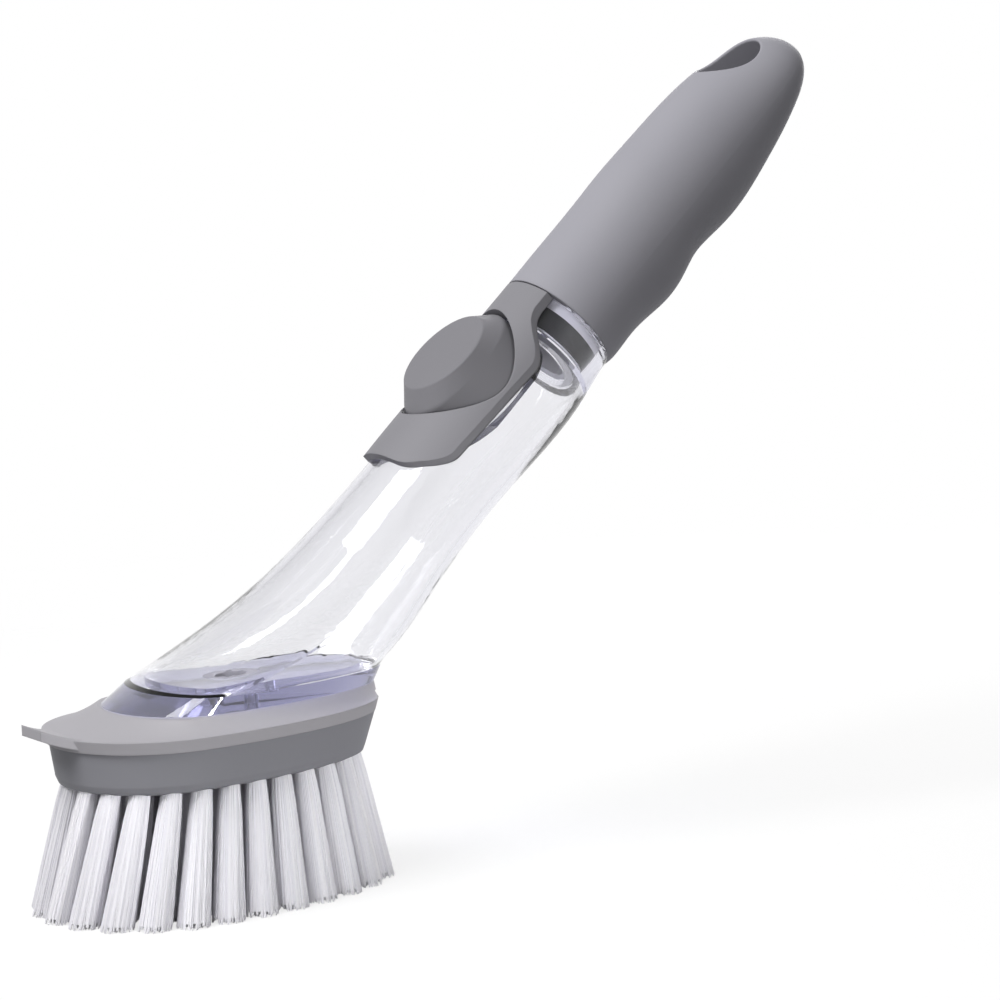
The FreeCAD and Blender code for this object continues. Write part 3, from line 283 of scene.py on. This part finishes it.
# Drawn nylon is white and a little glossy, and one filament differs a little in whiteness from the next.
nylon_strand = add_node(nylon, "ShaderNodeAttribute", {"attribute_name": "strand"})
nylon_tone = add_node(nylon, "ShaderNodeValToRGB", links={"Fac": nylon_strand.outputs["Fac"]})
nylon_tone.color_ramp.elements[0].color = linear("#f0eff6")
nylon_tone.color_ramp.elements[1].color = linear("#fbfafd")
nylon_gloss = add_node(nylon, "ShaderNodeMapRange", {"To Min": 0.35, "To Max": 0.5},
                       {"Value": nylon_strand.outputs["Fac"]})
nylon_skin = add_node(nylon, "ShaderNodeBsdfPrincipled", {"IOR": 1.53, "Specular IOR Level": 0.3}, {
    "Base Color": nylon_tone.outputs[0], "Roughness": nylon_gloss.outputs[0]})
add_node(nylon, "ShaderNodeOutputMaterial", links={"Surface": nylon_skin.outputs[0]})

# One tuft of unit height, its filaments set on a sunflower spiral; each tuft is a turned and sheared copy.
draw = random.Random(TUFT_SEED)
pattern = bmesh.new()
strand = pattern.verts.layers.float.new("strand")
root_height = 1 + root_depth / block_under
core_end = core_clear / block_under
core_radius = tip_radius + (bend_radius - tip_radius) * core_end / bend_share
core_side = [pattern.verts.new((core_share * radius, 0, height)) for radius, height in (
    (0, core_end), (core_radius, core_end), (bend_radius, bend_share), (root_radius, root_height))]
core_edges = [pattern.edges.new(pair) for pair in zip(core_side, core_side[1:])]
bmesh.ops.spin(pattern, geom=core_side + core_edges, axis=(0, 0, 1), angle=math.tau,
               steps=CORE_SIDES, use_merge=True)
bmesh.ops.remove_doubles(pattern, verts=pattern.verts, dist=merge_gap)
for vertex in pattern.verts:
    vertex[strand] = core_whiteness
# A circle starts with a corner on Y, which this turns to X.
corner_turn = Matrix.Rotation(-math.pi / 2, 4, "Z")
for number in range(FILAMENTS):
    share = math.sqrt((number + 0.5) / FILAMENTS)
    turn = number * golden_turn + draw.uniform(-turn_jitter, turn_jitter)
    out = Vector((math.cos(turn), math.sin(turn), 0))
    low_end = draw.random() ** 2 * trim_spread / block_under
    whiteness = draw.random()
    path = [(low_end, tip_radius), (core_end, core_radius)]
    if share > skin_share:
        share = core_share + (1 - core_share) * draw.random()
        path = [(low_end, tip_radius), (bend_share, bend_radius), (root_height, root_radius)]
    middles = [share * radius * out + Vector((0, 0, height)) for height, radius in path]
    ring = bmesh.ops.create_circle(pattern, cap_ends=True, segments=FILAMENT_SIDES, radius=filament_radius,
                                   matrix=Matrix.Translation(middles[0]) @ corner_turn)["verts"]
    for vertex in ring:
        vertex[strand] = whiteness
    rim = list(dict.fromkeys(edge for vertex in ring for edge in vertex.link_edges))
    for lower, upper in zip(middles, middles[1:]):
        grown = bmesh.ops.extrude_edge_only(pattern, edges=rim)["geom"]
        ring = [part for part in grown if isinstance(part, bmesh.types.BMVert)]
        rim = [part for part in grown if isinstance(part, bmesh.types.BMEdge) and part.is_boundary]
        bmesh.ops.translate(pattern, verts=ring, vec=upper - lower)
for node_name, piece_name in (("outer_tufts", "outer_filaments"), ("middle_tufts", "middle_filaments"),
                              ("inner_tufts", "inner_filaments")):
    solid = bmesh.new()
    solid.from_mesh(frame["nodes"][node_name].data)
    bmesh.ops.remove_doubles(solid, verts=solid.verts, dist=solid_merge_gap)
    # A dict keeps the vertices in order, so that each run gives a tuft the same turn.
    waiting = dict.fromkeys(solid.verts)
    tuft_mesh = bmesh.new()
    tuft_mesh.verts.layers.float.new("strand")
    while waiting:
        island = [waiting.popitem()[0]]
        for vertex in island:
            for edge in vertex.link_edges:
                other = edge.other_vert(vertex)
                if other in waiting:
                    del waiting[other]
                    island.append(other)
        tips = [vertex.co for vertex in island if vertex.co.z < tip_slack]
        roots = [vertex.co for vertex in island if vertex.co.z > block_under + root_slack]
        tip_at = sum(tips, Vector()) / len(tips)
        root_at = sum(roots, Vector()) / len(roots)
        lean = Matrix(((1, 0, root_at.x - tip_at.x, tip_at.x), (0, 1, root_at.y - tip_at.y, tip_at.y),
                       (0, 0, block_under, 0), (0, 0, 0, 1)))
        spin_round = Matrix.Rotation(draw.uniform(0, math.tau), 4, "Z")
        tuft = pattern.copy()
        bmesh.ops.transform(tuft, verts=tuft.verts, matrix=lean @ spin_round)
        tuft_data = bpy.data.meshes.new("tuft")
        tuft.to_mesh(tuft_data)
        tuft.free()
        tuft_mesh.from_mesh(tuft_data)
        bpy.data.meshes.remove(tuft_data)
    solid.free()
    bmesh.ops.recalc_face_normals(tuft_mesh, faces=tuft_mesh.faces)
    filaments = mesh_object(piece_name, tuft_mesh)
    filaments.data.materials.append(nylon)
    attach(filaments, "head")
    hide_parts(node_name)
pattern.free()

# The staples: short lengths of flattened steel wire, drawn and cut.
# They are driven in with the folded tufts and hold them at the ends of their holes.
scratch_wide, scratch_long = 0.1 * MM, 2.0 * MM
staple_steel = empty_material("drawn_steel")
steel_place = add_node(staple_steel, "ShaderNodeTexCoord")
# Drawing leaves fine scratches along the wire.
steel_stretch = add_node(staple_steel, "ShaderNodeMapping", {"Scale": (scratch_wide / scratch_long, 1, 1)},
                         {"Vector": steel_place.outputs["Object"]})
steel_scratch = add_node(staple_steel, "ShaderNodeTexNoise", {"Scale": 1 / scratch_wide},
                         {"Vector": steel_stretch.outputs[0]})
steel_gloss = add_node(staple_steel, "ShaderNodeMapRange", {"To Min": 0.3, "To Max": 0.5},
                       {"Value": steel_scratch.outputs[0]})
steel_skin = add_node(staple_steel, "ShaderNodeBsdfPrincipled", {
    "Base Color": linear("#b9b9b6"), "Metallic": 1.0}, {"Roughness": steel_gloss.outputs[0]})
add_node(staple_steel, "ShaderNodeOutputMaterial", links={"Surface": steel_skin.outputs[0]})
dress(staple_steel, "tuft_staples")

# The floor: a sheet of white studio paper that keeps the wand's soft shadow.
# It fades into the white room round it, so that no edge shows.
floor_half = 1.0
floor_glow = 0.76
fade_start, fade_end = 0.3, 0.7
# The camera, the key and the fill aim at this point in the middle of the wand.
target = Vector((90.07, 0, 95.91)) * MM
floor_mesh = bmesh.new()
bmesh.ops.create_grid(floor_mesh, x_segments=1, y_segments=1, size=floor_half)
floor = mesh_object("floor", floor_mesh)


def seen_rays(owner):
    """One for rays from the camera, through clear plastic or off a glossy face, and else nought."""
    rays = add_node(owner, "ShaderNodeLightPath")
    seen = rays.outputs["Is Camera Ray"]
    for kind in ("Is Transmission Ray", "Is Glossy Ray"):
        either = add_node(owner, "ShaderNodeMath", {"operation": "MAXIMUM"}, {0: seen, 1: rays.outputs[kind]})
        seen = either.outputs[0]
    return seen


floor_paper = empty_material("studio_floor")
# Lit paper and glow add up to white, and both fade with the distance from the wand.
paper_place = add_node(floor_paper, "ShaderNodeTexCoord")
paper_far = add_node(floor_paper, "ShaderNodeVectorMath", {"operation": "DISTANCE"},
                     {0: paper_place.outputs["Object"]})
paper_far.inputs[1].default_value = (target.x, target.y, 0)
paper_fade = add_node(floor_paper, "ShaderNodeMapRange", {
    "interpolation_type": "SMOOTHSTEP", "From Min": fade_start, "From Max": fade_end},
    {"Value": paper_far.outputs["Value"]})
paper_lit = add_node(floor_paper, "ShaderNodeBsdfDiffuse", {"Color": linear("#898989")})
paper_strength = add_node(floor_paper, "ShaderNodeMapRange", {"To Max": floor_glow},
                          {"Value": seen_rays(floor_paper)})
paper_glow = add_node(floor_paper, "ShaderNodeEmission", {"Color": linear("#ffffff")},
                      {"Strength": paper_strength.outputs[0]})
paper_both = add_node(floor_paper, "ShaderNodeAddShader",
                      links={0: paper_lit.outputs[0], 1: paper_glow.outputs[0]})
paper_gone = add_node(floor_paper, "ShaderNodeBsdfTransparent")
paper_edge = add_node(floor_paper, "ShaderNodeMixShader", links={
    "Fac": paper_fade.outputs[0], 1: paper_both.outputs[0], 2: paper_gone.outputs[0]})
add_node(floor_paper, "ShaderNodeOutputMaterial", links={"Surface": paper_edge.outputs[0]})
floor.data.materials.append(floor_paper)

# The room: a studio that is plain white to the camera. Its light on the object falls off from the key
# lamp's side to the side across from it.
key_way = Vector((-0.68, -0.1, 0.85))
room_dark, room_bright = 0.03, 0.4
level_sine, ceiling_sine, ceiling_white = 0.2, 0.7, 0.3
room = bpy.data.worlds.new("studio")
bpy.context.scene.world = room
room.use_nodes = True
room.node_tree.nodes.clear()
room_way = add_node(room, "ShaderNodeTexCoord")
room_side = add_node(room, "ShaderNodeVectorMath", {"operation": "DOT_PRODUCT"},
                     {0: room_way.outputs["Generated"]})
room_side.inputs[1].default_value = key_way.normalized()
room_level = add_node(room, "ShaderNodeMapRange", {
    "From Min": -1.0, "To Min": room_dark, "To Max": room_bright}, {"Value": room_side.outputs["Value"]})
# Clear plastic and gloss show a backdrop that is white level with the wand and dimmer above and below.
room_axes = add_node(room, "ShaderNodeSeparateXYZ", links={"Vector": room_way.outputs["Generated"]})
room_slope = add_node(room, "ShaderNodeMath", {"operation": "ABSOLUTE"}, {0: room_axes.outputs["Z"]})
room_backdrop = add_node(room, "ShaderNodeMapRange", {
    "interpolation_type": "SMOOTHSTEP", "From Min": level_sine, "From Max": ceiling_sine,
    "To Min": 1.0, "To Max": ceiling_white}, {"Value": room_slope.outputs[0]})
room_shown = add_node(room, "ShaderNodeMapRange", links={
    "Value": seen_rays(room), "To Min": room_level.outputs[0], "To Max": room_backdrop.outputs[0]})
room_rays = add_node(room, "ShaderNodeLightPath")
room_strength = add_node(room, "ShaderNodeMapRange", {"To Max": 1.0}, {
    "Value": room_rays.outputs["Is Camera Ray"], "To Min": room_shown.outputs[0]})
room_light = add_node(room, "ShaderNodeBackground", {"Color": linear("#ffffff")},
                      {"Strength": room_strength.outputs[0]})
add_node(room, "ShaderNodeOutputWorld", links={"Surface": room_light.outputs[0]})

# The lamps: a large soft key high over the toe, a weaker and lower fill behind the handle, and a small
# narrow kicker, level with the bristle block, that brightens the near side of the head alone.
key_size, key_power = 0.6, 10.0
fill_way, fill_size, fill_power = Vector((0.75, 0.65, 0.3)), 0.6, 5.0
kicker_way, kicker_size, kicker_power = Vector((0.1, -0.77, 0.0)), 0.2, 0.06
kicker_spread = math.radians(12)
head_middle = Vector((0, 0, block_under))


def soft_box(name, place, aim, size, power):
    """A square area lamp that stands at a place and faces an aim."""
    lamp = bpy.data.lights.new(name, "AREA")
    lamp.size = size
    lamp.energy = power
    holder = bpy.data.objects.new(name, lamp)
    bpy.context.scene.collection.objects.link(holder)
    holder.location = place
    holder.rotation_mode = "QUATERNION"
    holder.rotation_quaternion = (aim - place).to_track_quat("-Z", "Y")
    return lamp


soft_box("key", target + key_way, target, key_size, key_power)
kicker = soft_box("kicker", head_middle + kicker_way, head_middle, kicker_size, kicker_power)
kicker.spread = kicker_spread
soft_box("fill", target + fill_way, target, fill_size, fill_power)

# The camera: it stands low before the wand, towards its toe, with a long lens and a slight roll.
# Its place was fitted to the outlines of the head and the handle.
azimuth, elevation, roll = math.radians(-31.0), math.radians(6.65), math.radians(-2.45)
distance = 959.18 * MM
sensor_wide, focal_length = 36.0, 125.46
back = Vector((math.sin(azimuth) * math.cos(elevation), -math.cos(azimuth) * math.cos(elevation),
               math.sin(elevation)))
level = Vector((math.cos(azimuth), math.sin(azimuth), 0))
upright = back.cross(level)
right = math.cos(roll) * level + math.sin(roll) * upright
up = -math.sin(roll) * level + math.cos(roll) * upright
lens = bpy.data.cameras.new("camera")
lens.sensor_width = sensor_wide
lens.lens = focal_length
camera = bpy.data.objects.new("camera", lens)
bpy.context.scene.collection.objects.link(camera)
camera_turn = Matrix((right, up, back)).transposed().to_4x4()
camera.matrix_world = Matrix.Translation(target + distance * back) @ camera_turn
bpy.context.scene.camera = camera
bpy.context.scene.view_settings.view_transform = "Standard"
